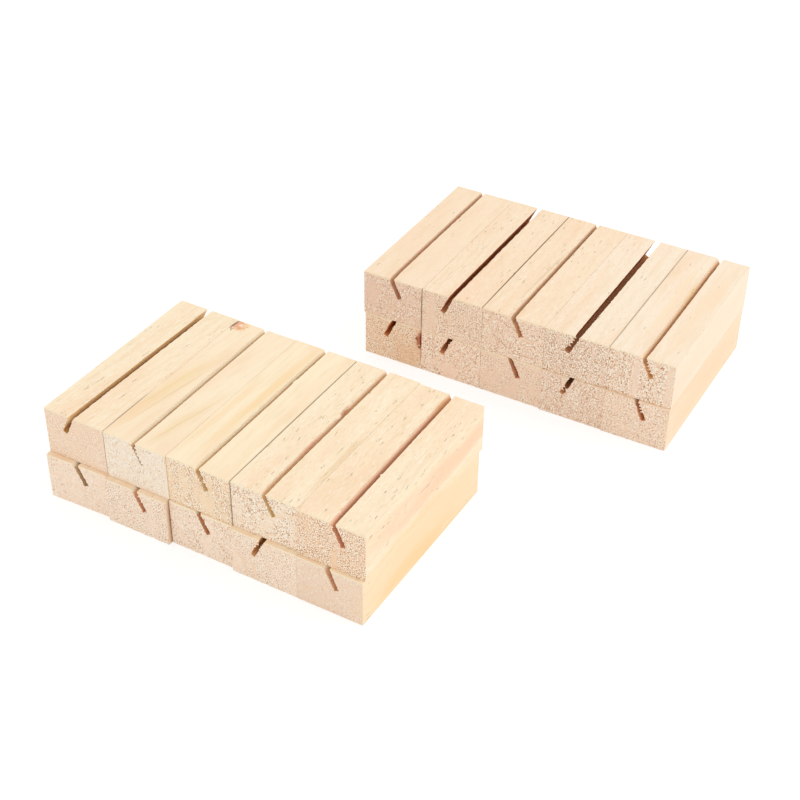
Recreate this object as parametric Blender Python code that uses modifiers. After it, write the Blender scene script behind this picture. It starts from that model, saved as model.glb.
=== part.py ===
"""A set of twenty pine place card holders, kept in two piles of two rows of five.

Every holder is one solid block of wood with a slanting saw slot along its top, where a card stands.
Lengths are in metres and +Z is up. The origin is the bottom centre of the whole set.
"""

import math

import bpy
from mathutils import Matrix

# One holder, sawn to length from a planed strip
HOLDER_LENGTH = 0.1
HOLDER_WIDTH = 0.0326
HOLDER_HEIGHT = 0.0237
EDGE_EASE = 0.0003
EDGE_STEPS = 2

# The slot for the card, one pass of a saw tilted off the upright
SLOT_WIDTH = 0.0025
SLOT_DEPTH = 0.0113
SLOT_LEAN = math.radians(25)
CUT_PAST = 0.005

# The piles. Holders that touch keep this clearance, beside and above each other.
CLEARANCE = 0.0003
FAR_PILE_RIGHT = 0.061
FAR_PILE_BEHIND = 0.068
FAR_PILE_TURN = math.radians(0.87)

# Each row from left to right. lean is the side that the slot goes to on its way down, forward is how far
# the holder stands in front of its row's line, and skew is how far its ends are sawn out of square, in
# degrees. slot_right is the slot's offset from the middle. slot_turn is how far the slot runs off the
# holder's line and tilt is what it leans beyond SLOT_LEAN, both in degrees, and deeper is what it has
# beyond SLOT_DEPTH. trim_left and trim_right are planed off the holder's sides. A holder has USUAL where
# its line says nothing else.
USUAL = dict(
    forward=0.0, skew=0.0, slot_right=0.0, slot_turn=0.0, tilt=0.0, deeper=0.0, trim_left=0.0, trim_right=0.0
)
ROWS = {
    "near_bottom": (
        dict(tone="rose", lean="right", forward=0.0019, skew=2.0, slot_right=-0.0003),
        dict(tone="rose", lean="right", forward=0.0027, skew=0.3, slot_right=-0.0002),
        dict(tone="straw", lean="right", forward=0.0004, slot_right=-0.0010),
        dict(tone="straw", lean="left", forward=0.0017, slot_right=-0.0006),
        dict(tone="rose", lean="right", forward=0.0018, slot_right=-0.0012, trim_right=0.0006),
    ),
    "near_top": (
        dict(tone="cream", lean="left", forward=-0.0003, slot_right=-0.0005, slot_turn=-0.7, deeper=-0.0008),
        dict(tone="straw", lean="right", slot_right=-0.0007),
        dict(tone="cream", lean="right", forward=-0.0004, slot_right=-0.0004, tilt=-3.0, deeper=0.0004),
        dict(tone="cream", lean="right", forward=-0.0006),
        dict(tone="straw", lean="right", forward=0.0003, slot_right=0.0006, slot_turn=0.4, deeper=0.0005),
    ),
    "far_bottom": (
        dict(tone="rose", lean="left", slot_right=0.0006, trim_left=0.0007),
        dict(tone="cream", lean="left", slot_right=-0.0003),
        dict(tone="cream", lean="right", slot_right=-0.0006),
        dict(tone="rose", lean="left", forward=0.0008, slot_right=-0.0005),
        dict(tone="straw", lean="right", forward=0.0012, skew=0.5, slot_right=-0.0004),
    ),
    "far_top": (
        dict(tone="cream", lean="right", slot_right=-0.0008),
        dict(tone="cream", lean="left", slot_right=-0.0004, deeper=-0.0004),
        dict(tone="straw", lean="right", slot_right=-0.0003),
        dict(tone="cream", lean="left", slot_right=0.0003),
        dict(tone="cream", lean="right", slot_right=0.0004, deeper=0.0003),
    ),
}

# Planed pine in its three tones, as linear colour
TONES = {
    "cream": (0.93, 0.78, 0.58),
    "rose": (0.87, 0.68, 0.51),
    "straw": (0.94, 0.75, 0.50),
}
PINE_ROUGHNESS = 0.62


def clear_scene():
    for obj in list(bpy.data.objects):
        bpy.data.objects.remove(obj, do_unlink=True)


def new_collection(name):
    collection = bpy.data.collections.new(name)
    bpy.context.scene.collection.children.link(collection)
    return collection


def keep_in(obj, collection):
    for old in list(obj.users_collection):
        old.objects.unlink(obj)
    collection.objects.link(obj)


def pine_material(name, tone):
    material = bpy.data.materials.new(name)
    material.use_nodes = True
    shader = material.node_tree.nodes["Principled BSDF"]
    shader.inputs["Base Color"].default_value = (*TONES[tone], 1.0)
    shader.inputs["Roughness"].default_value = PINE_ROUGHNESS
    shader.inputs["Metallic"].default_value = 0.0
    material.diffuse_color = (*TONES[tone], 1.0)
    return material


def box(name, size, middle_height):
    """A box of this size, centred on its own origin but for its height, with its scale applied."""
    bpy.ops.mesh.primitive_cube_add(size=1.0)
    obj = bpy.context.active_object
    obj.name = name
    obj.data.name = name
    obj.data.transform(Matrix.Translation((0.0, 0.0, middle_height)) @ Matrix.Diagonal((*size, 1.0)))
    return obj


def slot_cutter(holder, across, lean, turn, depth, cutters):
    """The tilted slab that the saw takes out of a holder, from above its top to the slot's floor."""
    size = (SLOT_WIDTH, HOLDER_LENGTH + 2 * CUT_PAST, depth + CUT_PAST)
    cutter = box(holder.name + "_slot", size, (CUT_PAST - depth) / 2)
    cutter.location = (across, 0.0, HOLDER_HEIGHT)
    cutter.rotation_euler = (0.0, -lean, turn)
    cutter.parent = holder
    cutter.hide_render = True
    cutter.display_type = "WIRE"
    keep_in(cutter, cutters)
    return cutter


def make_holder(name, wood, parts, cutters):
    """One holder standing on its own origin. A slot leaning left is a right one turned end for end."""
    width = HOLDER_WIDTH - wood["trim_left"] - wood["trim_right"]
    holder = box(name, (width, HOLDER_LENGTH, HOLDER_HEIGHT), HOLDER_HEIGHT / 2)
    sawn_ends = Matrix.Identity(4)
    sawn_ends[1][0] = math.tan(math.radians(wood["skew"]))
    holder.data.transform(sawn_ends)
    turned = wood["lean"] == "left"
    holder.rotation_euler.z = math.pi if turned else 0.0
    keep_in(holder, parts)

    ease = holder.modifiers.new("Eased edges", "BEVEL")
    ease.width = EDGE_EASE
    ease.segments = EDGE_STEPS
    ease.limit_method = "ANGLE"

    across = -wood["slot_right"] if turned else wood["slot_right"]
    lean = SLOT_LEAN + math.radians(wood["tilt"])
    turn = math.radians(wood["slot_turn"])
    slot = holder.modifiers.new("Card slot", "BOOLEAN")
    slot.operation = "DIFFERENCE"
    slot.solver = "EXACT"
    slot.object = slot_cutter(holder, across, lean, turn, SLOT_DEPTH + wood["deeper"], cutters)

    holder.data.materials.append(pine_material("Pine " + name, wood["tone"]))
    return holder


def place_holder(holder, wood, pile, column, level):
    """Sets a holder in its column, off its middle by half of what was planed off one side."""
    pitch = HOLDER_WIDTH + CLEARANCE
    holder.parent = pile
    holder.location = (
        (column + 0.5) * pitch + (wood["trim_left"] - wood["trim_right"]) / 2,
        HOLDER_LENGTH / 2 - wood["forward"],
        level * (HOLDER_HEIGHT + CLEARANCE),
    )


def make_pile(name, right, behind, turn, parts):
    """An empty at the front left bottom corner of a pile, which carries its holders."""
    pile = bpy.data.objects.new(name, None)
    pile.location = (right, behind, 0.0)
    pile.rotation_euler.z = turn
    parts.objects.link(pile)
    return pile


def centre_on_origin(piles, holders):
    """Moves the piles so that the bottom centre of the whole set's box is the origin."""
    bpy.context.view_layer.update()
    graph = bpy.context.evaluated_depsgraph_get()
    corners = [
        holder.matrix_world @ vertex.co
        for holder in holders
        for vertex in holder.evaluated_get(graph).data.vertices
    ]
    for axis in (0, 1):
        low = min(corner[axis] for corner in corners)
        high = max(corner[axis] for corner in corners)
        for pile in piles.values():
            pile.location[axis] -= (low + high) / 2
    bpy.context.view_layer.update()


def main():
    clear_scene()
    parts = new_collection("Place card holders")
    cutters = new_collection("Cutters")
    cutters.hide_render = True

    far_pile_front = HOLDER_LENGTH + FAR_PILE_BEHIND
    piles = {
        "near": make_pile("near_pile", 0.0, 0.0, 0.0, parts),
        "far": make_pile("far_pile", FAR_PILE_RIGHT, far_pile_front, FAR_PILE_TURN, parts),
    }
    holders = []
    for row, places in ROWS.items():
        pile_name, layer = row.split("_")
        level = 1 if layer == "top" else 0
        for column, given in enumerate(places):
            wood = {**USUAL, **given}
            holder = make_holder(f"{row}_{column + 1}", wood, parts, cutters)
            place_holder(holder, wood, piles[pile_name], column, level)
            holders.append(holder)
    centre_on_origin(piles, holders)


main()
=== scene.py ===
import math

import bmesh
import bpy
from mathutils import Matrix, Vector, noise


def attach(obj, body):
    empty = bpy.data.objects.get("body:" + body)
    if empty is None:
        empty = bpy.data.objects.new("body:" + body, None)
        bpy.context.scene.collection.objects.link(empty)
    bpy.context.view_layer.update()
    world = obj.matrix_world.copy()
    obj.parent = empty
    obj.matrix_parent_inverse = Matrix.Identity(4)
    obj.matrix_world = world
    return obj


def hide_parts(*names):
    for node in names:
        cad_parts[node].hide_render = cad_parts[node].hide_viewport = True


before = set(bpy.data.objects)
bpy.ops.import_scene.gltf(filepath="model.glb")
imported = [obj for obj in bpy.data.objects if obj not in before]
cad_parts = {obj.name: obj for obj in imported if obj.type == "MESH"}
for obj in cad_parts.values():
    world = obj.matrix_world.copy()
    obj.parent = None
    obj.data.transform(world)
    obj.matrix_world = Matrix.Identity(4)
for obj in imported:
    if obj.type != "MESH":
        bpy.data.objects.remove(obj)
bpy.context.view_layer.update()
mm = 0.001

# Camera: its place, its turns and its lens were read from the edges of both piles, in metres, degrees and mm
view = {
    "place": (0.29275, -0.52715, 0.45624),
    "turnLeft": 29.924,
    "lookDown": 36.533,
    "roll": 0.616,
    "lens": 70.36,
    "sensorWidth": 36.0,
}


def addCamera():
    data = bpy.data.cameras.new("Camera")
    data.lens = view["lens"]
    data.sensor_width = view["sensorWidth"]
    camera = bpy.data.objects.new("Camera", data)
    bpy.context.scene.collection.objects.link(camera)
    aim = Matrix.Rotation(math.radians(view["turnLeft"]), 4, "Z")
    aim @= Matrix.Rotation(math.radians(90 - view["lookDown"]), 4, "X")
    aim @= Matrix.Rotation(math.radians(view["roll"]), 4, "Z")
    camera.matrix_world = Matrix.Translation(view["place"]) @ aim
    bpy.context.scene.camera = camera


addCamera()
bpy.context.scene.view_settings.view_transform = "Standard"
print("camera set")


def linear(hexColour):
    # an sRGB hex value as linear colour with alpha
    channels = [int(hexColour[i:i + 2], 16) / 255 for i in (1, 3, 5)]
    return tuple(c / 12.92 if c <= 0.04045 else ((c + 0.055) / 1.055) ** 2.4 for c in channels) + (1.0,)


def addNode(tree, kind, inputs=None, **settings):
    # adds one node; an input is a value, a socket, or a node whose first live output it takes
    node = tree.nodes.new(kind)
    for name, value in settings.items():
        setattr(node, name, value)
    for key, value in (inputs or {}).items():
        socket = node.inputs[key]
        if isinstance(key, str):
            socket = next(s for s in node.inputs if s.name == key and s.enabled)
        if isinstance(value, bpy.types.Node):
            value = next(s for s in value.outputs if s.enabled)
        if isinstance(value, bpy.types.NodeSocket):
            tree.links.new(value, socket)
        else:
            socket.default_value = value
    return node


# Light from all round and one large softbox behind on the right, on a floor that looks white but for a shadow
studio = {
    "sky": 0.9,
    "key": {"power": 5.9, "size": 1.2, "place": (1.1, 0.5, 1.3)},
    "floorColour": "#FFFFFF",
    "floorGlow": 0.60,
    "floorDiffuse": 0.50,
    "floorSize": 6.0,
}


def seenDirectly(tree):
    # 1 for rays from the camera, from gloss and through glass, which see plain white round the holders
    rays = addNode(tree, "ShaderNodeLightPath").outputs
    direct = addNode(tree, "ShaderNodeMath", {0: rays["Is Camera Ray"], 1: rays["Is Glossy Ray"]},
                     operation="MAXIMUM")
    return addNode(tree, "ShaderNodeMath", {0: direct, 1: rays["Is Transmission Ray"]},
                   operation="MAXIMUM")


def lightStudio():
    world = bpy.data.worlds.new("Soft white studio")
    bpy.context.scene.world = world
    world.use_nodes = True
    tree = world.node_tree
    tree.nodes.clear()
    lamp = addNode(tree, "ShaderNodeBackground", {"Color": (1, 1, 1, 1), "Strength": studio["sky"]})
    white = addNode(tree, "ShaderNodeBackground", {"Color": (1, 1, 1, 1), "Strength": 1.0})
    mixed = addNode(tree, "ShaderNodeMixShader", {0: seenDirectly(tree), 1: lamp, 2: white})
    addNode(tree, "ShaderNodeOutputWorld", {"Surface": mixed})

    key = bpy.data.lights.new("Key softbox", "AREA")
    key.energy = studio["key"]["power"]
    key.size = studio["key"]["size"]
    lampObject = bpy.data.objects.new("Key softbox", key)
    place = Vector(studio["key"]["place"])
    lampObject.location = place
    lampObject.rotation_euler = (-place).to_track_quat("-Z", "Y").to_euler()
    bpy.context.scene.collection.objects.link(lampObject)


def addFloor():
    material = bpy.data.materials.new("Matt white sweep")
    material.use_nodes = True
    tree = material.node_tree
    tree.nodes.clear()
    plain = addNode(tree, "ShaderNodeBsdfDiffuse", {"Color": linear(studio["floorColour"])})
    # what the camera sees is white, less the soft shadow that the holders leave on it
    shade = studio["floorDiffuse"]
    shaded = addNode(tree, "ShaderNodeBsdfDiffuse", {"Color": (shade, shade, shade, 1)})
    glow = addNode(tree, "ShaderNodeEmission", {"Color": (1, 1, 1, 1), "Strength": studio["floorGlow"]})
    bright = addNode(tree, "ShaderNodeAddShader", {0: shaded, 1: glow})
    mixed = addNode(tree, "ShaderNodeMixShader", {0: seenDirectly(tree), 1: plain, 2: bright})
    addNode(tree, "ShaderNodeOutputMaterial", {"Surface": mixed})
    bpy.ops.mesh.primitive_plane_add(size=studio["floorSize"])
    floor = bpy.context.active_object
    floor.name = "floor"
    floor.data.materials.append(material)


lightStudio()
addFloor()
print("studio lit")


# How the points of a CAD holder are told apart, in mm
reading = {
    "level": 0.05,               # a point this near the lowest or the highest one lies level with it
    "inside": 2.0,               # the slot's points are more than this in from the sides
    "offFaces": 5.0,             # the slot's floor is more than this from the top and from the foot
}


def readHolder(name):
    # a CAD holder's own frame and its slot, read from its mesh
    points = {tuple(round(value, 6) for value in vertex.co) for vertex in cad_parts[name].data.vertices}
    points = [Vector(point) for point in points]
    low = min(point.z for point in points)
    high = max(point.z for point in points)
    level = reading["level"] * mm
    offFaces = reading["offFaces"] * mm
    feet = sorted((point for point in points if point.z < low + level), key=lambda point: point.y)
    frontLeft, frontRight = sorted(feet[:2], key=lambda point: point.x)
    backLeft = min(feet[-2:], key=lambda point: point.x)
    along = (backLeft - frontLeft).normalized()
    across = along.cross(Vector((0, 0, 1)))
    middle = sum(feet, Vector()) / len(feet)
    sides = [(point - middle).dot(across) for point in points]
    width = max(sides) - min(sides)
    front = frontRight - frontLeft
    ease = (width - front.dot(across)) / 2

    inner = [(side, (point - middle).dot(along), point.z) for side, point in zip(sides, points)
             if abs(side) < width / 2 - reading["inside"] * mm]
    frontLips = [side for side, back, up in inner if up > high - level and back < 0]
    backLips = [side for side, back, up in inner if up > high - level and back > 0]
    floor = [(side, up) for side, back, up in inner if low + offFaces < up < high - offFaces]
    length = (backLeft - frontLeft).length + 2 * ease
    frontMouth = (min(frontLips) + max(frontLips)) / 2
    backMouth = (min(backLips) + max(backLips)) / 2
    mouth = Vector(((frontMouth + backMouth) / 2, high - low))
    bottom = (Vector(min(floor)) + Vector(max(floor))) / 2 - Vector((0, low))
    run = bottom - mouth
    lean = math.atan2(run.x, -run.y)
    place = Matrix((across, along, (0, 0, 1))).transposed().to_4x4()
    place.translation = (middle.x, middle.y, low)
    return {
        "place": place,
        "turn": math.atan2(across.y, across.x),
        "width": width,
        "length": length,
        "height": high - low,
        "ease": ease,
        "skew": front.dot(along) / front.dot(across),
        "mouth": mouth.x,
        "lean": lean,
        "slotTurn": math.atan2(frontMouth - backMouth, length),
        "kerf": (max(frontLips) - min(frontLips)) * math.cos(lean),
        "depth": run.length,
    }


# How the saw left the slot's walls, in mm
kerfWear = {
    "stepsAlong": 130,
    "stepsDeep": 44,
    "crowding": 0.55,            # how much closer the steps lie towards the ends, 0 to 1
    "past": 2.0,                 # how far the cut goes past the holder
    "groove": 0.05,              # grooves along the cut
    "grooveLength": 7.0,
    "grooveHeight": 0.8,
    "lip": 0.22,                 # ragged lips
    "lipLength": 2.4,
    "lipFade": 0.7,
    "tearFade": 1.6,             # how deep a tear in a lip goes
    "burrFade": 0.9,             # how far in from the front end a tuft reaches
    "frontRag": 0.4,             # the ragged front end
    "frontSize": 1.1,
    "frontFade": 0.8,
    "wallsFade": 6.0,            # how far in from the front end a wall has come to its own place
    "fractal": (0.7, 2.0, 3),    # how the raggedness goes on in finer steps: decay, ratio and steps
    "ownStretch": (7.3, 31.7),   # how far apart in the noise two holders lie, and two walls of one
    "lipStretch": 5.1,           # where in it the lips and the front end lie
    "frontStretch": 3.3,
}


finishes = ("planed", "sawn", "kerf")    # a holder's materials, in the order of their slots


def kerfCutter(holder, wood, seed):
    # the saw's path through a holder, with walls as rough as the real cut
    wear = kerfWear
    nextHolder, nextWall = wear["ownStretch"]
    past = wear["past"] * mm
    length = holder["length"] + 2 * past
    depth = holder["depth"]
    bm = bmesh.new()
    bmesh.ops.create_cube(bm, size=1.0)
    bmesh.ops.scale(bm, vec=(holder["kerf"], length, depth + past), verts=bm.verts)
    bmesh.ops.translate(bm, vec=(0, 0, (past - depth) / 2), verts=bm.verts)
    longEdges = [edge for edge in bm.edges if abs(edge.verts[0].co.y - edge.verts[1].co.y) > length / 2]
    bmesh.ops.subdivide_edges(bm, edges=longEdges, cuts=wear["stepsAlong"])
    deepEdges = [edge for edge in bm.edges if abs(edge.verts[0].co.z - edge.verts[1].co.z) > depth / 2]
    bmesh.ops.subdivide_edges(bm, edges=deepEdges, cuts=wear["stepsDeep"])
    for vertex in bm.verts:
        # steps lie closer together towards the ends, where the burrs are
        share = 2 * vertex.co.y / length
        crowded = math.sin(share * math.pi / 2)
        vertex.co.y = length / 2 * (share + wear["crowding"] * (crowded - share))
        side = 1 if vertex.co.x > 0 else -1
        y, down = vertex.co.y / mm, -vertex.co.z / mm
        deep = max(down, 0)
        wall = seed * nextHolder + side * nextWall
        rough = wood["rough"] * wear["groove"] * noise.noise(
            (y / wear["grooveLength"], down / wear["grooveHeight"], wall))
        ragged = wood["rough"] * wear["lip"] * math.exp(-deep / wear["lipFade"]) * noise.fractal(
            (y / wear["lipLength"], wear["lipStretch"], wall), *wear["fractal"])
        inwards = 0.0
        for tearSide, tearPlace, tearLength, reach in wood["tears"]:
            if tearSide == side:
                inwards += reach * math.exp(-((y - tearPlace) / tearLength) ** 2 - deep / wear["tearFade"])
        fromFront = max(y + holder["length"] / 2 / mm, 0)
        for burrSide, burrDown, burrHeight, reach in wood["burrs"]:
            if burrSide == side:
                inwards += reach * math.exp(-((down - burrDown) / burrHeight) ** 2
                                            - fromFront / wear["burrFade"])
        frontRag = wood["rough"] * wear["frontRag"] * math.exp(-fromFront / wear["frontFade"])
        inwards += frontRag * noise.fractal(
            (down / wear["frontSize"], wear["frontStretch"], wall), *wear["fractal"])
        offset = wood["walls"][0 if side < 0 else 1] * (1 - math.exp(-fromFront / wear["wallsFade"]))
        vertex.co.x += (side * (rough + ragged - inwards) + offset) * mm
    bmesh.ops.rotate(bm, cent=(0, 0, 0), matrix=Matrix.Rotation(-holder["lean"], 3, "Y"), verts=bm.verts)
    bmesh.ops.rotate(bm, cent=(0, 0, 0), matrix=Matrix.Rotation(holder["slotTurn"], 3, "Z"), verts=bm.verts)
    bmesh.ops.translate(bm, vec=(holder["mouth"], 0, holder["height"]), verts=bm.verts)
    for face in bm.faces:
        face.material_index = finishes.index("kerf")
    return bm


# How the planed strip differs from the CAD's holder, in mm where a note says nothing else
block = {
    "closes": 0.24,              # how much of the CAD's clearance to its neighbours it fills
    "inside": 0.005,             # how far it keeps inside the CAD's ends and free sides
    "ease": 0.5,                 # its arrises' share of the CAD's
    "easeSteps": 2,
    "endFrom": 0.8,              # a face turned this much to the front or the back is a sawn end, 0 to 1
    "sharpFrom": 40,             # edges that turn by more degrees than this look sharp
}


def blockBody(holder, closeRight, closeDown):
    # a planed strip sawn to length, with its edges eased, that all but touches the holders beside it
    right = block["closes"] * mm if closeRight else 0.0
    down = block["closes"] * mm if closeDown else 0.0
    inside = 2 * block["inside"] * mm
    bm = bmesh.new()
    bmesh.ops.create_cube(bm, size=1.0)
    size = (holder["width"] - inside + right, holder["length"] - inside, holder["height"] + down)
    bmesh.ops.scale(bm, vec=size, verts=bm.verts)
    bmesh.ops.translate(bm, vec=(right / 2, 0, (holder["height"] - down) / 2), verts=bm.verts)
    bmesh.ops.bevel(bm, geom=bm.edges[:], offset=holder["ease"] * block["ease"],
                    segments=block["easeSteps"], profile=0.5, affect="EDGES", material=-1)
    bm.normal_update()
    for face in bm.faces:
        isEnd = abs(face.normal.y) > block["endFrom"]
        face.material_index = finishes.index("sawn" if isEnd else "planed")
    shear = Matrix.Identity(4)
    shear[1][0] = holder["skew"]
    bmesh.ops.transform(bm, matrix=shear, verts=bm.verts)
    return bm


def meshObject(name, bm):
    mesh = bpy.data.meshes.new(name)
    bm.to_mesh(mesh)
    bm.free()
    obj = bpy.data.objects.new(name, mesh)
    bpy.context.scene.collection.objects.link(obj)
    return obj


# Pine, by the colour of its planed faces and of its sawn ends
planedTones = {
    "cream": "#FDEACB",
    "pale": "#FEECCB",
    "straw": "#FDE8C6",
    "rose": "#FAE2C5",
    "ivory": "#FAE8D0",
}
sawnTones = {
    "white": "#FFEFDA",
    "pale": "#FFE7D0",
    "cream": "#FFE8CE",
    "honey": "#FFE3C0",
    "tan": "#FCDFC4",
    "sand": "#F7DDC4",
    "blush": "#FFE4CE",
    "rose": "#F9DEC6",
    "umber": "#FAD5B2",
    "brown": "#F3D7C0",
    "amber": "#F5D5B6",
    "clay": "#F2D5BF",
}
# What shows in the wood: late wood, resin canals, painted highlight and painted shade on torn fibres, fresh
# cuts, a painted highlight on the ends' top edge and dark lines in the joints
markTones = {
    "late": "#EFC692",
    "peach": "#FAD3AE",
    "shade": "#EBCDA2",
    "canal": "#8C7D55",
    "paleFleckAndFibreHighlight": "#FFFAEA",
    "tornHollowShade": "#BA8150",
    "kerfStreak": "#D9A06C",
    "edge": "#FFF1CE",
    "joint": "#755430",
}
# What a holder has where its own entry says nothing else
usual = {
    "slot": "pine_cream",
    "planed": "cream",
    "sawn": "tan",
    "lip": "#FFEECE",            # the slot's walls from their lips down: worn clean, sawn, and deep inside, partly painted shade and painted warm light that comes back and forth between them
    "kerf": "#E3BB8C",           # where the light comes back and forth between them
    "deep": "#E3BB8C",
    "lipDepth": (0.8, 2.2),      # where the lip's tone has gone over to the kerf's, in mm down
    "pith": (-30.0, -25.0),      # where the middle of the tree lies from the holder's foot, in mm
    "grain": (0.6, 0.4),         # how far the grain runs off the holder's line, in degrees
    "ring": 3.4,                 # a year's growth in mm
    "wobble": 2.2,               # how far the rings wander, in mm
    "bands": 0.16,               # how much the late wood and the peach clouds show, 0 to 1
    "peach": 0.45,
    "canals": 0.45,              # how much of the planed face has resin canals, 0 to 1
    "canalLength": 11.0,         # how far apart they follow each other, in mm
    "torn": 0.5,                 # how rough the sawn ends are, 0 to 1
    "edge": 0.7,                 # how strong the painted highlight on the ends' top edge is, 0 to 1
    "strokes": 20.0,             # which way the torn fibres lie on the ends, in degrees off the upright
    "rough": 1.0,                # how rough the slot is beside kerfWear
    "walls": (0.0, 0.0),         # how far right of the CAD's the slot's left and right wall are, in mm
    "open": False,               # whether daylight shows between it and its right neighbour
    "burrs": (),                 # torn tufts at the slot's front end: side, mm down, height, reach
    "tears": (),                 # torn places along the slot's lips: side, place, length, reach in mm
    "spots": (),                 # stains, bands, knots, dark joint lines and darker strips, some of them painted shade
    "calm": (),                  # places on the front end that the saw left smooth
}


def mark(at, size, tone="", strength=1.0, **shape):
    # a place in the wood, drawn as an ellipsoid with a wandering edge, in mm and degrees
    return {"at": at, "size": size, "tone": tone, "strength": strength,
            "turn": 0, "tip": 0, "soft": 0.8, "ragged": 0.6, "grain": 0.45, **shape}


def topJoint(strength, middle=0, reach=90):
    # a dark line along the right arris of a holder's top
    return mark((16.4, middle, 23.7), (0.6, reach, 0.8), markTones["joint"], strength, soft=0.6, ragged=0.25)


def endJoint(strength):
    return mark((16.4, -50, 12), (0.55, 1.5, 20), markTones["joint"], strength, soft=0.6, ragged=0.25)


knotInCorner = (
    mark((-12.6, 46.4, 23.7), (5.6, 5.0, 5.0), "#F6CF98", 0.8, soft=0.5),
    mark((-13.1, 46.2, 23.7), (3.9, 3.6, 5.0), "#E9A67E", 0.85, soft=0.35, ragged=1.3, grain=0.35),
    mark((-12.2, 46.9, 23.7), (1.9, 1.6, 5.0), "#FBE3CC", 0.9, soft=0.6, ragged=1.2, grain=0.3),
    mark((-13.4, 43.8, 23.7), (0.8, 1.0, 5.0), "#FBE3CC", 0.8, soft=0.6, ragged=1.0, grain=0.3),
    mark((-15.6, 46.6, 23.7), (0.75, 4.6, 4.0), "#8A7568", 0.9, turn=-8, soft=0.5),
    mark((-14.9, 42.4, 23.7), (0.6, 2.6, 3.0), "#A58B77", 0.7, turn=30, soft=0.6),
)
brokenKnot = (
    mark((15.2, -50, 17.2), (3.4, 9, 8.0), "#DFA27A", 0.6, soft=0.7),
    mark((15.0, -50, 16.7), (1.8, 7, 4.6), "#B06240", 0.9, soft=0.4, ragged=1.1, grain=0.35),
    mark((15.9, -50, 17.7), (0.6, 7, 6.6), "#6E2812", 0.95, soft=0.4, ragged=0.5),
    mark((13.3, -50, 17.5), (0.7, 6, 1.0), "#6A2C12", 0.9, soft=0.5, ragged=0.6),
    mark((15.2, -50, 12.8), (1.2, 6, 1.0), "#66200C", 0.95, soft=0.4, ragged=0.6),
    mark((15.9, -50, 9.0), (0.6, 3, 5.0), "#A9714C", 0.65, soft=0.6),
)
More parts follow.
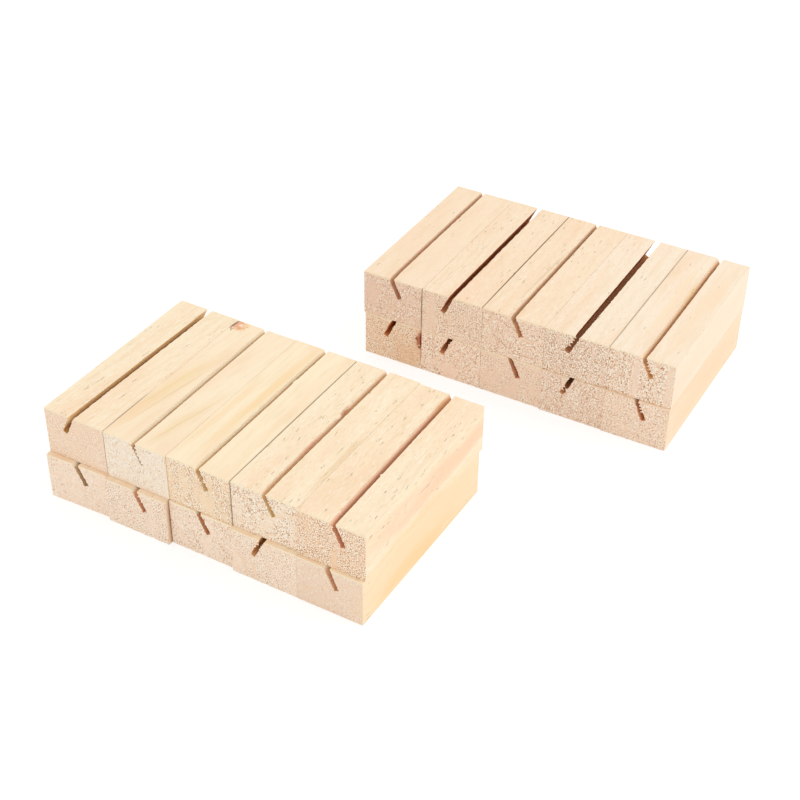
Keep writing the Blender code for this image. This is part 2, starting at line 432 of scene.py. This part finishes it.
holders = {
    "near_top_1": {
        "sawn": "tan", "pith": (-40, -10), "grain": (-5.0, 0.4), "canals": 0.9, "canalLength": 20.0,
        "torn": 0.36, "strokes": 40, "walls": (0.15, 0.1),
        "lip": "#FBDFB4", "kerf": "#D8A566", "deep": "#D29D5B", "lipDepth": (3.0, 10.0),
        "spots": (topJoint(0.55, -34, 22), endJoint(0.6)),
    },
    "near_top_2": {
        "slot": "pine_straw", "sawn": "white", "pith": (8, -36), "ring": 6.0, "grain": (-7.0, 1.0),
        "canals": 0.08, "torn": 0.4, "strokes": -20, "rough": 0.9, "walls": (0.2, 0.2),
        "kerf": "#D6AA7A", "deep": "#FFF0D4",
        "burrs": ((1, 2.6, 0.6, 1.2), (1, 4.4, 0.8, 1.9), (1, 6.2, 0.8, 2.1), (1, 8.2, 1.0, 2.1),
                  (1, 10.3, 0.8, 1.9), (-1, 7.4, 0.3, 0.5)),
        "spots": knotInCorner + (
            mark((-11.0, -10, 23.7), (7.0, 44, 8), "#F7D7A0", 0.66, turn=-8, soft=1.0, ragged=0.3),
            mark((-14.0, -32, 23.7), (5.0, 26, 6), "#FAD3AC", 0.5, turn=-6, soft=1.0, ragged=0.3),
            mark((8.5, -27, 23.7), (5.0, 36, 6), "#F4D5A4", 0.55, turn=-12, soft=1.0, ragged=0.3),
            mark((-9.0, -20, 23.7), (0.6, 32, 4), "#DDB48E", 0.34, turn=-8, soft=1.0),
            mark((-6.4, -6, 23.7), (0.6, 26, 4), "#DDB48E", 0.3, turn=-8, soft=1.0),
            mark((-12.4, -12, 23.7), (0.5, 28, 4), "#E0BC94", 0.3, turn=-9, soft=1.0),
            mark((10.2, -22, 23.7), (0.6, 26, 4), "#DFBC90", 0.34, turn=-12, soft=1.0),
            mark((6.4, -38, 23.7), (0.6, 18, 4), "#DFBC90", 0.3, turn=-12, soft=1.0),
        ),
    },
    "near_top_3": {
        "planed": "pale", "sawn": "honey", "pith": (-60, 12), "ring": 7.0, "canals": 0.1, "torn": 0.82,
        "strokes": 30, "rough": 1.0, "walls": (0.25, 0.2), "open": True,
        "kerf": "#DDB582", "deep": "#FAE0B3",
        "burrs": ((1, 6.8, 0.45, 1.9), (-1, 7.4, 0.35, 1.0)),
        "tears": ((1, 22, 2.0, 0.7), (-1, -18, 2.5, 0.5)),
        "spots": (
            topJoint(0.52),
            endJoint(0.42),
            mark((-4.6, 6, 23.7), (3.4, 60, 8), "#FADAA9", 0.85, turn=-1, ragged=0.4),
            mark((-13.0, -10, 23.7), (3.0, 45, 8), "#FBDFB5", 0.7, turn=-2, ragged=0.4),
        ),
        "calm": (mark((3, -50, 6), (3.5, 9, 7)),),
    },
    "near_top_4": {
        "sawn": "cream", "pith": (33, -56), "ring": 5.0, "canals": 0.9, "torn": 0.78, "strokes": 40,
        "walls": (-0.35, -0.4), "lip": "#FFE6CA", "deep": "#FBE2AD", "lipDepth": (0.3, 1.6),
        "burrs": ((1, 2.0, 0.5, 0.5), (1, 3.8, 0.5, 0.65), (1, 5.6, 0.5, 0.6), (1, 7.4, 0.5, 0.6),
                  (1, 9.0, 0.5, 0.4)),
        "tears": ((-1, 16, 2.0, -0.6), (-1, 10, 1.5, 0.8)),
        "spots": (
            mark((-1.5, 15, 23.0), (1.2, 4.2, 2.6), "#BC6E4C", 0.7, ragged=0.9),
            mark((-1.3, -13, 22.8), (1.0, 12, 2.6), "#E8A183", 0.5),
            mark((15.6, -16, 23.7), (2.6, 30, 5), "#EDCBA0", 0.6),
        ),
        "calm": (mark((2, -50, 9), (3.0, 9, 16), tip=40), mark((-13, -50, 9), (3.0, 9, 9))),
    },
    "near_top_5": {
        "slot": "pine_straw", "sawn": "umber", "pith": (60, 5), "ring": 4.5, "canals": 1.0, "torn": 0.9,
        "strokes": 10, "walls": (-0.15, 0.0),
        "lip": "#FFDABA", "kerf": "#D59C78", "deep": "#EEB490", "lipDepth": (0.5, 1.9),
        "burrs": ((-1, 1.6, 0.4, 0.7),),
        "tears": ((1, -14, 0.5, 0.7), (-1, -42, 0.5, 0.6)),
        "spots": (
            mark((-1.0, 42, 22.5), (1.4, 13, 3.0), "#E6B478", 0.6),
            mark((16.3, 10, 12), (7, 70, 9), "#F9CEAB", 0.7),
            mark((16.3, -5, 1), (7, 60, 5), "#F7D8A8", 0.6),
            mark((16.3, -2, 14.5), (3, 8, 0.7), "#DDB08E", 0.6),
        ),
        "calm": (mark((1.8, -50, 4), (2.2, 9, 8)),),
    },
    "near_bottom_1": {
        "slot": "pine_rose", "planed": "rose", "sawn": "pale", "pith": (-20, -50), "torn": 0.34,
        "strokes": -60, "kerf": "#D9B78A", "deep": "#D9B78A",
    },
    "near_bottom_2": {
        "slot": "pine_rose", "planed": "rose", "sawn": "pale", "pith": (-50, 30), "torn": 0.6,
        "strokes": 60, "rough": 1.3, "open": True, "kerf": "#F0B78C", "deep": "#F0B78C",
        "burrs": ((1, 3.0, 0.35, 0.9), (1, 4.5, 0.35, 1.1), (1, 6.0, 0.35, 0.8)),
        # painted shade on the strip of its right side that stands before near_bottom_3, darkest near that
        # holder
        "spots": (mark((16.4, -47.2, 12), (0.7, 2.7, 24), "#A07058", 0.85, soft=1.0, ragged=0.2),),
    },
    "near_bottom_3": {
        "slot": "pine_straw", "sawn": "pale", "pith": (40, 40), "ring": 4.0, "torn": 0.52, "strokes": -30,
        "kerf": "#E7AD7B", "deep": "#E7AD7B",
        "burrs": ((1, 1.8, 0.4, 0.8),),
        "calm": (mark((2, -50, 6), (2.5, 9, 6), tip=-20),),
    },
    "near_bottom_4": {
        "slot": "pine_straw", "sawn": "pale", "pith": (-20, 3), "ring": 4.4, "wobble": 1.2, "bands": 0.3,
        "torn": 0.55, "strokes": 15, "rough": 1.6, "kerf": "#FBCE97", "deep": "#FBCE97",
        "burrs": ((-1, 1.5, 0.35, 0.9), (-1, 3.1, 0.4, 1.1), (-1, 5.0, 0.35, 0.8)),
        "calm": (mark((-14, -50, 8), (4, 9, 8)),),
    },
    "near_bottom_5": {
        "slot": "pine_rose", "planed": "straw", "sawn": "sand", "pith": (40, -60), "torn": 0.24,
        "strokes": -10, "kerf": "#F6C89E", "deep": "#F6C89E",
        "spots": (
            mark((16.3, 0, 12), (6, 90, 22), "#F9DCB2", 0.7, ragged=0.3),
            mark((15, -10, 4), (7, 50, 8), "#F8D39A", 0.6),
        ),
    },
    "far_bottom_1": {
        "slot": "pine_rose", "planed": "rose", "sawn": "amber", "pith": (-30, -30), "torn": 0.75,
        "strokes": 50, "kerf": "#F0A565", "deep": "#F0A565",
        "spots": brokenKnot + (mark((9, -50, 6), (12, 20, 12), "#EDBE94", 0.35),),
    },
    "far_bottom_2": {
        "planed": "rose", "sawn": "blush", "pith": (50, -20), "torn": 0.72, "strokes": 30,
        "kerf": "#FBC18C", "deep": "#FBC18C",
        "burrs": ((1, 1.8, 0.35, 0.8), (1, 3.6, 0.35, 0.9)),
        "calm": (mark((-1, -50, 4), (5, 9, 6)),),
    },
    "far_bottom_3": {
        "planed": "rose", "sawn": "rose", "pith": (-20, -60), "torn": 0.6, "strokes": -40,
        "kerf": "#EDB489", "deep": "#EDB489",
        "calm": (mark((1, -50, 5), (5, 9, 5)),),
    },
    "far_bottom_4": {
        "slot": "pine_rose", "planed": "rose", "sawn": "brown", "pith": (30, 60), "torn": 0.66,
        "edge": 0.1, "strokes": 20, "kerf": "#FBC897", "deep": "#FBC897",
        "burrs": ((-1, 6.5, 0.4, 1.4), (1, 7.2, 0.4, 1.3), (-1, 8.6, 0.4, 1.7)),
        # a darker strip along the front of the top
        "spots": (mark((0, -50, 23.7), (17, 1.2, 0.5), "#E6C8AA", 0.45, ragged=0.3),),
    },
    "far_bottom_5": {
        "slot": "pine_straw", "planed": "rose", "sawn": "rose", "pith": (9, 4), "ring": 2.8, "torn": 0.72,
        "edge": 0.1, "strokes": 45, "rough": 1.4, "kerf": "#F0B07F", "deep": "#F0B07F",
        "burrs": ((1, 1.6, 0.4, 0.8), (1, 3.2, 0.4, 1.1), (1, 4.8, 0.4, 1.3), (1, 6.4, 0.45, 1.5)),
        "spots": (
            # a darker strip along the front of the top
            mark((0, -50, 23.7), (17, 1.4, 0.5), "#E6C8AA", 0.45, ragged=0.3),
            mark((16.3, 0, 12), (6, 90, 22), "#F5D9B4", 0.5, ragged=0.3),
        ),
    },
    "far_top_1": {
        "planed": "rose", "sawn": "clay", "pith": (30, -50), "torn": 0.52, "strokes": -35,
        "walls": (-0.2, -0.45), "lip": "#FFE2C2", "kerf": "#CFA27C", "deep": "#E1B292",
        "lipDepth": (0.0, 1.3),
        "spots": (
            endJoint(0.72),
            mark((-1.4, 20, 23.0), (1.0, 8, 2.0), "#E79A80", 0.5),
            mark((-1.4, -17, 23.0), (1.0, 7, 2.0), "#E79A80", 0.5),
        ),
        "calm": (mark((-12, -50, 12), (5, 9, 9)),),
    },
    "far_top_2": {
        "planed": "rose", "sawn": "rose", "pith": (-60, 10), "canals": 0.9, "torn": 0.8, "strokes": 10,
        "walls": (-0.1, -0.2), "kerf": "#D4976A", "deep": "#D09062", "lipDepth": (0.0, 0.5),
        "spots": (topJoint(0.88),),
        "calm": (mark((-12, -50, 12), (3.5, 9, 14)),),
    },
    "far_top_3": {
        "slot": "pine_straw", "planed": "rose", "sawn": "rose", "pith": (8, 45), "ring": 5.0,
        "canals": 0.9, "torn": 0.6, "strokes": 25, "walls": (0.0, -0.3),
        "lip": "#FFE4C6", "kerf": "#CDA27A", "deep": "#F2C59B", "lipDepth": (0.0, 1.3),
        "spots": (
            mark((-3.4, -8, 23.7), (1.0, 36, 3), "#DDC096", 0.55, turn=-2),
            mark((-5.3, -50, 7.3), (6.6, 9, 0.45), "#C0916F", 0.8, tip=37, ragged=0.3),
            mark((5.5, -50, 3.2), (10.5, 9, 0.4), "#C0916F", 0.7, tip=-2, ragged=0.3),
        ),
    },
    "far_top_4": {
        "planed": "ivory", "sawn": "brown", "pith": (70, 10), "ring": 6.0, "canals": 0.75, "torn": 1.2,
        "strokes": -25, "walls": (-0.15, 0.2), "kerf": "#CE9266", "deep": "#CE9266", "lipDepth": (0.0, 0.5),
        "burrs": ((-1, 1.2, 0.45, 1.3), (-1, 3.0, 0.45, 1.5), (-1, 4.8, 0.45, 1.5), (-1, 7.0, 0.5, 1.6)),
        "spots": (topJoint(0.5),),
    },
    "far_top_5": {
        "planed": "ivory", "sawn": "rose", "pith": (-80, 12), "ring": 6.5, "canals": 0.5, "torn": 0.85,
        "strokes": 5, "rough": 1.2, "walls": (0.25, 0.3),
        "lip": "#FFE4C4", "kerf": "#D9AC7E", "deep": "#FCCF98",
        "burrs": ((1, 3.0, 0.45, 1.1), (1, 4.8, 0.45, 1.5), (1, 6.5, 0.45, 1.6), (1, 8.2, 0.45, 1.4)),
        "spots": (
            mark((-1.0, 12, 23.0), (1.2, 14, 3.0), "#EBC878", 0.5),
            mark((-5.5, 5, 23.7), (2.6, 50, 6), "#FBE0BC", 0.6),
            mark((10.0, 0, 23.7), (7, 60, 4), "#FADDBA", 0.6),
            mark((16.3, 0, 12), (6, 90, 18), "#F9E4C9", 0.8, ragged=0.3),
        ),
        "calm": (mark((-2.6, -50, 12), (2.6, 9, 20)), mark((14, -50, 12), (2.2, 9, 20))),
    },
}

# What grew in the wood and what the saw tore: sizes in mm across, along and up, and how fine it goes on.
# The real resin canals, fibres and torn pores are finer, and are drawn as coarse as the picture can show.
growth = {
    "wander": {"size": (18.0, 70.0, 18.0), "shift": 0, "detail": 3.0},
    "fading": {"size": (16.0, 45.0, 16.0), "shift": 3, "detail": 2.0},
    "cloud": {"size": (13.0, 75.0, 13.0), "shift": 9, "detail": 2.0},
    "mottle": {"size": (3.0, 16.0, 3.0), "shift": 4, "detail": 2.0},
    "fibre": {"size": (1.1, 26.0, 1.1), "shift": 5, "detail": 2.0},
    "pore": {"size": (0.6, 3.6, 0.6), "shift": 6, "detail": 1.0},
    "fraying": {"size": (0.8, 2.0, 0.8), "shift": 8, "detail": 2.0},
    "cluster": {"size": (8.0, 34.0, 8.0), "shift": 13, "detail": 2.0},
    "torn": {"size": (0.42, 6.0, 0.64), "shift": 17, "detail": 1.5},
    "tornPatch": {"size": (6.0, 60.0, 8.0), "shift": 19, "detail": 2.0},
}


ownWood = (31.0, 57.0, 13.0)    # how far apart in the noise two holders' wood lies


def grown(tree, place, pattern, seed):
    # a soft variation in the wood, different in each holder
    own = seed + pattern["shift"]
    stretched = addNode(tree, "ShaderNodeMapping", {"Vector": place, "Scale": pattern["size"],
                                                    "Location": [own * apart for apart in ownWood]},
                        vector_type="TEXTURE")
    return addNode(tree, "ShaderNodeTexNoise", {"Vector": stretched, "Scale": 1.0,
                                                "Detail": pattern["detail"]})


def stain(tree, colour, pattern, none, full, most, tone):
    # lays a tone over a colour, from none of it to the most as the pattern goes from one value to another
    amount = addNode(tree, "ShaderNodeMapRange", {"Value": pattern, "From Min": none, "From Max": full,
                                                  "To Max": most}, interpolation_type="SMOOTHSTEP")
    return addNode(tree, "ShaderNodeMix", {"Factor": amount, "A": colour, "B": linear(tone)},
                   data_type="RGBA")


# One year's growth as the years go by from 0 to 1, and how rings differ and fade along their length
years = {
    "lateFrom": 0.25,
    "lateFull": 0.8,
    "lateEnds": 0.86,
    "faintest": 0.3,
    "fadedAt": 0.38,
    "wholeAt": 0.6,
    "faded": 0.25,
}


def growWood(tree, holder, wood, seed):
    # a holder's own mm coordinates, the tree's, and how late in its year each point grew
    place = addNode(tree, "ShaderNodeTexCoord")
    inBlock = addNode(tree, "ShaderNodeMapping", {"Vector": place.outputs["Object"], "Scale": (mm, mm, mm),
                                                  "Location": holder["place"].translation,
                                                  "Rotation": (0, 0, holder["turn"])},
                      vector_type="TEXTURE")
    pithAcross, pithUp = wood["pith"]
    grainTurn, grainTip = wood["grain"]
    inTree = addNode(tree, "ShaderNodeMapping", {"Vector": inBlock, "Location": (pithAcross, 0, pithUp),
                                                 "Rotation": (math.radians(grainTip), 0,
                                                              math.radians(grainTurn))},
                     vector_type="TEXTURE")
    flat = addNode(tree, "ShaderNodeVectorMath", {0: inTree, 1: (1, 0, 1)}, operation="MULTIPLY")
    radius = addNode(tree, "ShaderNodeVectorMath", {0: flat}, operation="LENGTH")
    wander = grown(tree, inTree, growth["wander"], seed)
    offset = addNode(tree, "ShaderNodeMath", {0: wander, 1: 2 * wood["wobble"], 2: radius},
                     operation="MULTIPLY_ADD")
    age = addNode(tree, "ShaderNodeMath", {0: offset, 1: wood["ring"]}, operation="DIVIDE")
    year = addNode(tree, "ShaderNodeMath", {0: age}, operation="FLOOR")
    season = addNode(tree, "ShaderNodeMath", {0: age}, operation="FRACT")
    weather = addNode(tree, "ShaderNodeTexWhiteNoise", {"W": year}, noise_dimensions="1D")
    rise = addNode(tree, "ShaderNodeMapRange", {"Value": season, "From Min": years["lateFrom"],
                                                "From Max": years["lateFull"]},
                   interpolation_type="SMOOTHSTEP")
    fall = addNode(tree, "ShaderNodeMapRange", {"Value": season, "From Min": 1.0,
                                                "From Max": years["lateEnds"]},
                   interpolation_type="SMOOTHSTEP")
    ring = addNode(tree, "ShaderNodeMath", {0: rise, 1: fall}, operation="MULTIPLY")
    strong = addNode(tree, "ShaderNodeMapRange", {"Value": weather, "To Min": years["faintest"]})
    late = addNode(tree, "ShaderNodeMath", {0: ring, 1: strong}, operation="MULTIPLY")
    along = grown(tree, inTree, growth["fading"], seed)
    fading = addNode(tree, "ShaderNodeMapRange", {"Value": along, "From Min": years["fadedAt"],
                                                  "From Max": years["wholeAt"], "To Min": years["faded"]})
    late = addNode(tree, "ShaderNodeMath", {0: late, 1: fading}, operation="MULTIPLY")
    return inBlock, inTree, late


def awayFrom(tree, inBlock, spot, seed):
    # how far a point lies from a spot's middle, 1 at its rim, which wanders as the spot is drawn out
    turned = (0, math.radians(spot["tip"]), math.radians(spot["turn"]))
    around = addNode(tree, "ShaderNodeMapping", {"Vector": inBlock, "Location": spot["at"],
                                                 "Scale": spot["size"], "Rotation": turned},
                     vector_type="TEXTURE")
    away = addNode(tree, "ShaderNodeVectorMath", {0: around}, operation="LENGTH")
    edge = grown(tree, around, {"size": (spot["grain"],) * 3, "shift": 0, "detail": 3.0}, seed)
    ragged = spot["ragged"]
    within = addNode(tree, "ShaderNodeMath", {0: away, 1: ragged}, operation="SUBTRACT")
    return addNode(tree, "ShaderNodeMath", {0: edge, 1: 2 * ragged, 2: within}, operation="MULTIPLY_ADD")


# Layers on the planed faces: the pattern's value where each begins and where it is full, and the most of it
planedLook = {
    "cloud": (0.42, 0.7),
    "mottle": (0.45, 0.75, 0.22),
    "fibre": (0.5, 0.8, 0.25),
    "pore": (0.56, 0.78),
    "palePore": (0.42, 0.22),
    "poreMost": 0.6,             # on wood that is full of resin canals
    "canalApart": 1.3,           # from one resin canal to the next, in mm across
    "canalCore": (0.25, 0.075),  # how wide a canal is, of that distance: at its rim and where it is full
    "canalFray": (1.4, 3.6, 1.4),
    "ownCanals": (7.0, 3.0, 5.0),    # how far apart in their pattern two holders' canals lie
    "cluster": (0.4, 0.62),      # canals keep together: where there are few and where there are most
    "canalsMost": 1.5,
    "canalsLeast": (0.35, -0.12),
    "canalShade": (0.45, 0.75),
    "canal": 0.8,
    "relief": 0.01,              # how deep the fibres stand, in mm
    "roughness": 0.58,
}


def planedPine(tree, holder, inBlock, inTree, late, wood, seed):
    # planed along the grain: smooth and satin, faintly banded, with peach clouds and resin canals cut open
    look = planedLook
    colour = stain(tree, linear(planedTones[wood["planed"]]), late, 0, 1, wood["bands"], markTones["late"])
    cloud = grown(tree, inTree, growth["cloud"], seed)
    colour = stain(tree, colour, cloud, *look["cloud"], wood["peach"], markTones["peach"])
    mottle = grown(tree, inTree, growth["mottle"], seed)
    colour = stain(tree, colour, mottle, *look["mottle"], markTones["shade"])
    fibre = grown(tree, inTree, growth["fibre"], seed)
    colour = stain(tree, colour, fibre, *look["fibre"], markTones["shade"])
    pore = grown(tree, inTree, growth["pore"], seed)
    pores = look["poreMost"] * wood["canals"]
    colour = stain(tree, colour, pore, *look["pore"], pores, markTones["shade"])
    colour = stain(tree, colour, pore, *look["palePore"], pores, markTones["paleFleckAndFibreHighlight"])

    fraying = grown(tree, inTree, growth["fraying"], seed).outputs["Color"]
    frayed = addNode(tree, "ShaderNodeVectorMath", {0: fraying, 1: look["canalFray"], 2: inTree},
                     operation="MULTIPLY_ADD")
    apart = (look["canalApart"], wood["canalLength"], look["canalApart"])
    drawn = addNode(tree, "ShaderNodeMapping", {"Vector": frayed, "Scale": apart,
                                                "Location": [seed * far for far in look["ownCanals"]]},
                    vector_type="TEXTURE")
    cells = addNode(tree, "ShaderNodeTexVoronoi", {"Vector": drawn, "Scale": 1.0})
    rim, full = look["canalCore"]
    core = addNode(tree, "ShaderNodeMapRange", {"Value": cells.outputs["Distance"], "From Min": rim,
                                                "From Max": full}, interpolation_type="SMOOTHSTEP")
    chance = addNode(tree, "ShaderNodeSeparateColor", {"Color": cells.outputs["Color"]})
    few, most = look["cluster"]
    share, less = look["canalsLeast"]
    group = addNode(tree, "ShaderNodeMapRange", {"Value": grown(tree, inTree, growth["cluster"], seed),
                                                 "From Min": few, "From Max": most,
                                                 "To Min": share * wood["canals"] + less,
                                                 "To Max": look["canalsMost"] * wood["canals"]})
    likely = addNode(tree, "ShaderNodeMath", {0: group, 1: chance.outputs["Red"]}, operation="SUBTRACT")
    certain, darkest = look["canalShade"]
    kept = addNode(tree, "ShaderNodeMapRange", {"Value": likely, "From Max": certain, "To Max": darkest})
    dash = addNode(tree, "ShaderNodeMath", {0: core, 1: kept}, operation="MULTIPLY")
    colour = stain(tree, colour, dash, 0, 1, look["canal"], markTones["canal"])
    return colour, fibre, look["relief"], look["roughness"]


# Flecks on the sawn ends, painted as highlights on the torn fibres and shade in their hollows: how far the
# relief goes to the lightest and the darkest, and where wood tears less
sawnLook = {
    "bands": 1.2,                # rings, beside those on the planed faces
    "light": (0.0, 0.075, 1.0),
    "dark": (0.01, -0.125, 1.0),
    "patches": (0.36, 0.54),
    "leastTorn": 0.55,
    "lateFull": 0.7,
    "lateTorn": 0.45,            # late wood is hard and tears this much
    "calm": (0.4, 1.2, 0.35),    # a calm place's middle and rim, and how much it tears
    "edge": (1.3, 0.2),          # the ends' top edge where the highlight is painted, in mm down
    "relief": 0.2,
    "roughness": 0.8,
}


def sawnPine(tree, holder, inBlock, inTree, late, wood, seed):
    # sawn across the grain: matt, with fibres torn out in flecks of painted highlight and painted shade, and
    # smooth where it is hard
    look = sawnLook
    bands = look["bands"] * wood["bands"]
    colour = stain(tree, linear(sawnTones[wood["sawn"]]), late, 0, 1, bands, markTones["late"])
    turned = addNode(tree, "ShaderNodeMapping", {"Vector": inBlock,
                                                 "Rotation": (0, math.radians(wood["strokes"]), 0)},
                     vector_type="TEXTURE")
    grit = grown(tree, turned, growth["torn"], seed)
    low, high = look["patches"]
    patchy = addNode(tree, "ShaderNodeMapRange", {"Value": grown(tree, inBlock, growth["tornPatch"], seed),
                                                  "From Min": low, "From Max": high,
                                                  "To Min": look["leastTorn"] * wood["torn"],
                                                  "To Max": wood["torn"]})
    smooth = addNode(tree, "ShaderNodeMapRange", {"Value": late, "From Max": look["lateFull"], "To Min": 1.0,
                                                  "To Max": look["lateTorn"]})
    torn = addNode(tree, "ShaderNodeMath", {0: patchy, 1: smooth}, operation="MULTIPLY")
    middle, rim, least = look["calm"]
    for number, spot in enumerate(wood["calm"]):
        away = awayFrom(tree, inBlock, spot, seed + number)
        rough = addNode(tree, "ShaderNodeMapRange", {"Value": away, "From Min": middle, "From Max": rim,
                                                     "To Min": least}, interpolation_type="SMOOTHSTEP")
        torn = addNode(tree, "ShaderNodeMath", {0: torn, 1: rough}, operation="MULTIPLY")
    level = addNode(tree, "ShaderNodeMath", {0: grit, 1: 0.5}, operation="SUBTRACT")
    relief = addNode(tree, "ShaderNodeMath", {0: level, 1: torn}, operation="MULTIPLY")
    # painted highlight on the raised torn fibres and painted shade in their hollows, following the relief
    colour = stain(tree, colour, relief, *look["light"], markTones["paleFleckAndFibreHighlight"])
    colour = stain(tree, colour, relief, *look["dark"], markTones["tornHollowShade"])
    # a painted highlight along the ends' top edge
    up = addNode(tree, "ShaderNodeSeparateXYZ", {"Vector": inBlock})
    top = holder["height"] / mm
    below, reached = look["edge"]
    colour = stain(tree, colour, up.outputs["Z"], top - below, top - reached, wood["edge"], markTones["edge"])
    return colour, grit, look["relief"], look["roughness"]


# The slot's walls: where the deep tone, partly painted shade and bounced light, goes over to the kerf's, in
# mm down, and the streaks on them
kerfLook = {
    "deep": (5.0, 3.2),
    "streak": (0.45, 0.75, 0.4),
    "relief": 0.08,
    "roughness": 0.85,
}


def kerfPine(tree, holder, inBlock, inTree, late, wood, seed):
    # the slot's walls: pale where the saw wore the lips clean, darker further down, partly painted shade of
    # the slot's depth, and fuzzy with streaks
    look = kerfLook
    fibre = grown(tree, inTree, growth["fibre"], seed)
    up = addNode(tree, "ShaderNodeSeparateXYZ", {"Vector": inBlock}).outputs["Z"]
    top = holder["height"] / mm
    clean, sawn = wood["lipDepth"]
    deep, shallow = look["deep"]
    colour = stain(tree, linear(wood["deep"]), up, top - deep, top - shallow, 1.0, wood["kerf"])
    colour = stain(tree, colour, fibre, *look["streak"], markTones["kerfStreak"])
    colour = stain(tree, colour, up, top - sawn, top - clean, 1.0, wood["lip"])
    return colour, fibre, look["relief"], look["roughness"]


def pineMaterial(name, holder, wood, seed, cut):
    finish = {"planed": planedPine, "sawn": sawnPine, "kerf": kerfPine}[cut]
    material = bpy.data.materials.new(f"Pine {cut} {name}")
    material.use_nodes = True
    tree = material.node_tree
    shader = tree.nodes["Principled BSDF"]
    inBlock, inTree, late = growWood(tree, holder, wood, seed)
    colour, height, relief, roughness = finish(tree, holder, inBlock, inTree, late, wood, seed)
    for number, spot in enumerate(wood["spots"]):
        away = awayFrom(tree, inBlock, spot, seed + number)
        colour = stain(tree, colour, away, 1.0, 1.0 - spot["soft"], spot["strength"], spot["tone"])
    bump = addNode(tree, "ShaderNodeBump", {"Height": height, "Distance": relief * mm, "Strength": 1.0})
    tree.links.new(next(s for s in colour.outputs if s.enabled), shader.inputs["Base Color"])
    tree.links.new(bump.outputs["Normal"], shader.inputs["Normal"])
    shader.inputs["Roughness"].default_value = roughness
    shader.inputs["IOR"].default_value = 1.45
    shader.inputs["Specular IOR Level"].default_value = 0.3
    return material


def makeHolder(name, wood, seed):
    # saws the slot into a holder's block and lays the piece over the CAD's node
    holder = readHolder(name)
    closeRight = not wood["open"] and not name.endswith("5")
    piece = meshObject(name + "_pine", blockBody(holder, closeRight, "_top_" in name))
    cutter = meshObject(name + "_kerf", kerfCutter(holder, wood, seed))
    for cut in finishes:
        material = pineMaterial(name, holder, wood, seed, cut)
        piece.data.materials.append(material)
        cutter.data.materials.append(material)
    saw = piece.modifiers.new("Card slot", "BOOLEAN")
    saw.operation = "DIFFERENCE"
    saw.solver = "EXACT"
    saw.object = cutter
    graph = bpy.context.evaluated_depsgraph_get()
    mesh = bpy.data.meshes.new_from_object(piece.evaluated_get(graph))
    mesh.name = name + "_pine"
    piece.modifiers.clear()
    piece.data = mesh
    bpy.data.objects.remove(cutter)
    mesh.transform(holder["place"])
    mesh.shade_smooth()
    mesh.set_sharp_from_angle(angle=math.radians(block["sharpFrom"]))
    flat = piece.modifiers.new("Flat faces", "WEIGHTED_NORMAL")
    flat.keep_sharp = True
    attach(piece, name)
    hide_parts(name)


for seed, (name, given) in enumerate(holders.items()):
    makeHolder(name, {**usual, **given}, seed)
print(f"{len(holders)} holders made")
